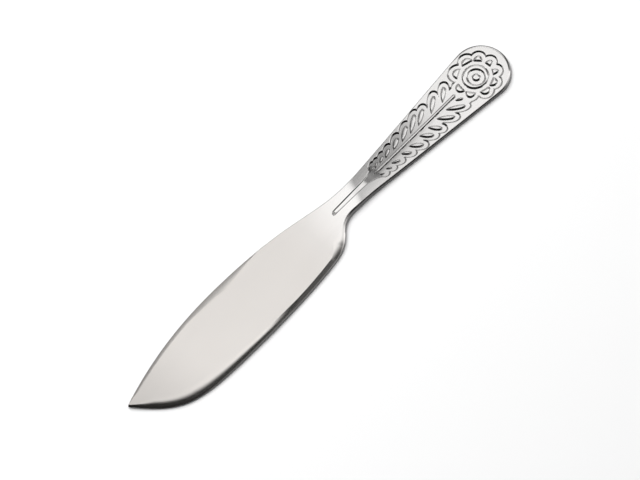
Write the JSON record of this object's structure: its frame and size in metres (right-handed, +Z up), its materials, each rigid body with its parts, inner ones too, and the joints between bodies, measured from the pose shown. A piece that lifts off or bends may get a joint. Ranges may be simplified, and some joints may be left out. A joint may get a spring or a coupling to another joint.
{
  "type": "cake knife",
  "caption": "Flat steel cake knife with a broad pointed blade, a blunt edge and a tapering handle coined with a flower and a leaf spray.",
  "frame": {"origin": "under the middle of the bounding box, on the flat underside that the knife lies on", "axes": "+X along the knife from the blade's point to the handle's end, +Y towards the blade's spine, +Z up out of the coined face"},
  "size_m": [0.205, 0.0281, 0.0022],
  "materials": {
    "blade_steel": "fine satin, rubbed along the blade",
    "handle_steel": "coined and polished, slightly duller in the sunk ground"
  },
  "bodies": {
    "root": {"blade": "blade_steel", "handle": "handle_steel"}
  },
  "joints": []
}
